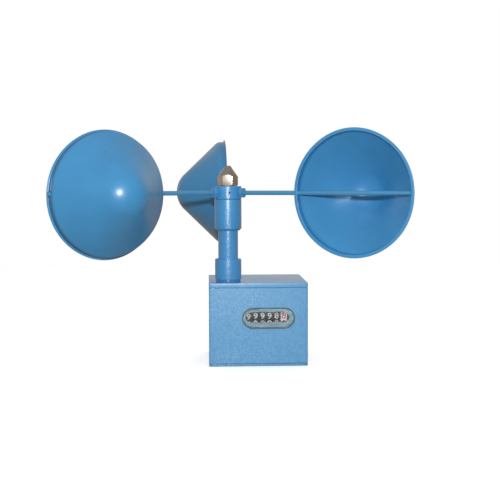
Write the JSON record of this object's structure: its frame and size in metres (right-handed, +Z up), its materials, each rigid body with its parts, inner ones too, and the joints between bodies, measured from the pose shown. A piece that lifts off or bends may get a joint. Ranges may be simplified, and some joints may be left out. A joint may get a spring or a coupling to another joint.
{
  "type": "cup anemometer",
  "caption": "Wind-run cup anemometer: conical cups on arms turn a spindle on a column; a worm drives a digit counter behind a window in the box.",
  "frame": {"origin": "on the underside of the base plate, on the spindle's axis", "axes": "+Z up the spindle, the counter window faces -Y, +X towards the window end of the box"},
  "size_m": [0.3562, 0.3302, 0.2485],
  "materials": {
    "cup_paint": "satin blue enamel",
    "arm_paint": "satin blue enamel",
    "column_paint": "gloss blue enamel",
    "hammer_paint": "blue hammer finish",
    "base_paint": "blue hammer finish, duller",
    "nickel": "polished nickel plate",
    "steel": "turned steel",
    "zinc": "zinc plated",
    "brass": "turned brass",
    "rubber": "matte",
    "glass": "clear",
    "counter_face": "satin grey-green",
    "drum_black": "moulded",
    "drum_white": "moulded",
    "nylon": "moulded"
  },
  "bodies": {
    "housing": {"case_shell": "hammer_paint", "top_plate": "hammer_paint", "top_gasket": "rubber", "base_plate": "base_paint", "base_gasket": "rubber", "mounting_nuts": "zinc", "corner_posts": "zinc", "base_screws": "steel", "window_gasket": "rubber", "window_glass": "glass", "counter_mask": "counter_face", "column_collar": "column_paint", "collar_gasket": "rubber", "column_nut": "zinc", "column_tube": "column_paint", "bearing_housing": "column_paint", "bearing_outer_races": "steel", "housing_retaining_rings": "steel", "movement_frame": "zinc", "centre_plate": "zinc", "deck_standoffs": "zinc", "deck_screws": "steel", "shaft_bushes": "brass", "footstep_bracket": "zinc", "footstep_bush": "brass", "counter_shaft": "steel", "pinion_shaft": "steel", "shaft_clips": "steel"},
    "rotor": {"cup_rear": "cup_paint", "cup_left": "cup_paint", "cup_right": "cup_paint", "arm_rear": "arm_paint", "arm_left": "arm_paint", "arm_right": "arm_paint", "arm_lock_nuts": "column_paint", "rotor_hub": "column_paint", "rotor_grub_screws": "steel", "cap_nut": "nickel", "spindle": "steel", "bearing_inner_races": "steel", "bearing_balls": "steel", "spindle_retaining_ring": "steel", "worm": "steel"},
    "gear_train": {"gear_shaft": "steel", "worm_wheel": "brass", "drive_gear": "brass", "gear_grub_screws": "steel"},
    "drum_1": {"digit_drum_1": "drum_black"},
    "drum_2": {"digit_drum_2": "drum_black"},
    "drum_3": {"digit_drum_3": "drum_black"},
    "drum_4": {"digit_drum_4": "drum_black"},
    "drum_5": {"digit_drum_5": "drum_black"},
    "drum_6": {"digit_drum_6": "drum_white", "counter_gear": "drum_black"},
    "pinion_1": {"transfer_pinion_1": "nylon"},
    "pinion_2": {"transfer_pinion_2": "nylon"},
    "pinion_3": {"transfer_pinion_3": "nylon"},
    "pinion_4": {"transfer_pinion_4": "nylon"},
    "pinion_5": {"transfer_pinion_5": "nylon"}
  },
  "joints": [
    {"name": "rotor_spin", "type": "hinge", "parent": "housing", "child": "rotor", "pos_m": [0, 0, 0.185], "axis": [0, 0, 1], "continuous": true},
    {"name": "gear_train_spin", "type": "hinge", "parent": "housing", "child": "gear_train", "pos_m": [0.03, 0.021, 0.0524], "axis": [1, 0, 0], "continuous": true},
    {"name": "drum_1_spin", "type": "hinge", "parent": "housing", "child": "drum_1", "pos_m": [0.0211, -0.0006, 0.0524], "axis": [1, 0, 0], "continuous": true},
    {"name": "drum_2_spin", "type": "hinge", "parent": "housing", "child": "drum_2", "pos_m": [0.02866, -0.0006, 0.0524], "axis": [1, 0, 0], "continuous": true},
    {"name": "drum_3_spin", "type": "hinge", "parent": "housing", "child": "drum_3", "pos_m": [0.03622, -0.0006, 0.0524], "axis": [1, 0, 0], "continuous": true},
    {"name": "drum_4_spin", "type": "hinge", "parent": "housing", "child": "drum_4", "pos_m": [0.04378, -0.0006, 0.0524], "axis": [1, 0, 0], "continuous": true},
    {"name": "drum_5_spin", "type": "hinge", "parent": "housing", "child": "drum_5", "pos_m": [0.05134, -0.0006, 0.0524], "axis": [1, 0, 0], "continuous": true},
    {"name": "drum_6_spin", "type": "hinge", "parent": "housing", "child": "drum_6", "pos_m": [0.0589, -0.0006, 0.0524], "axis": [1, 0, 0], "continuous": true},
    {"name": "pinion_1_spin", "type": "hinge", "parent": "housing", "child": "pinion_1", "pos_m": [0.02488, 0.0064, 0.04028], "axis": [1, 0, 0], "continuous": true},
    {"name": "pinion_2_spin", "type": "hinge", "parent": "housing", "child": "pinion_2", "pos_m": [0.03244, 0.0064, 0.04028], "axis": [1, 0, 0], "continuous": true},
    {"name": "pinion_3_spin", "type": "hinge", "parent": "housing", "child": "pinion_3", "pos_m": [0.04, 0.0064, 0.04028], "axis": [1, 0, 0], "continuous": true},
    {"name": "pinion_4_spin", "type": "hinge", "parent": "housing", "child": "pinion_4", "pos_m": [0.04756, 0.0064, 0.04028], "axis": [1, 0, 0], "continuous": true},
    {"name": "pinion_5_spin", "type": "hinge", "parent": "housing", "child": "pinion_5", "pos_m": [0.05512, 0.0064, 0.04028], "axis": [1, 0, 0], "continuous": true}
  ],
  "couplings": [
    {"joint": "gear_train_spin", "follows": "rotor_spin", "ratio": 0.025},
    {"joint": "drum_1_spin", "follows": "rotor_spin", "ratio": -0.00000025},
    {"joint": "drum_2_spin", "follows": "rotor_spin", "ratio": -0.0000025},
    {"joint": "drum_3_spin", "follows": "rotor_spin", "ratio": -0.000025},
    {"joint": "drum_4_spin", "follows": "rotor_spin", "ratio": -0.00025},
    {"joint": "drum_5_spin", "follows": "rotor_spin", "ratio": -0.0025},
    {"joint": "drum_6_spin", "follows": "rotor_spin", "ratio": -0.025},
    {"joint": "pinion_1_spin", "follows": "rotor_spin", "ratio": 0.000000625},
    {"joint": "pinion_2_spin", "follows": "rotor_spin", "ratio": 0.00000625},
    {"joint": "pinion_3_spin", "follows": "rotor_spin", "ratio": 0.0000625},
    {"joint": "pinion_4_spin", "follows": "rotor_spin", "ratio": 0.000625},
    {"joint": "pinion_5_spin", "follows": "rotor_spin", "ratio": 0.00625}
  ]
}
